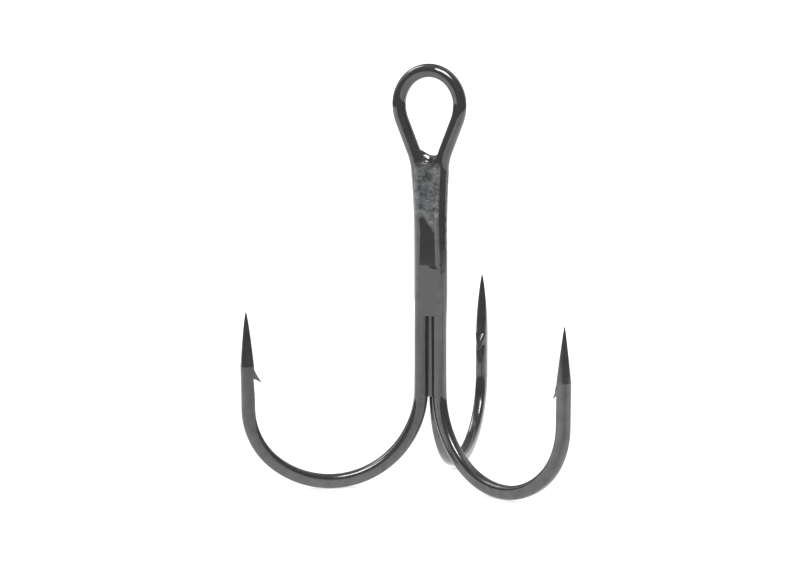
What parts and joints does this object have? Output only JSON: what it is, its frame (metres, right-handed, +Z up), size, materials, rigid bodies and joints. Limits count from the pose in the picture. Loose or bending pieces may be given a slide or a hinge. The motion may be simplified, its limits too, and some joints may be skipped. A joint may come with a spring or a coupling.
{
  "type": "treble hook",
  "caption": "Round-bend treble fishing hook: a double hook bent from one wire around its eye, with a single hook brazed behind it, all barbed and needle pointed.",
  "frame": {"origin": "the middle of the eye, on the axis of the shank", "axes": "+Z up the shank towards the top of the eye; +Y square to the flat of the eye, towards the side that the single hook points to; +X along the flat of the eye, across the two shanks of the double hook"},
  "size_m": [0.0382, 0.0325, 0.0481],
  "materials": {
    "black_nickel": "black nickel plating on polished high-carbon steel wire, dark grey mirror with soft highlights",
    "braze": "brazing metal under the same black nickel plating, slightly dull and mottled near the eye"
  },
  "bodies": {
    "root": {"double_hook": "black_nickel", "single_hook": "black_nickel", "braze_front": "braze", "braze_back_right": "braze", "braze_back_left": "braze"}
  },
  "joints": []
}
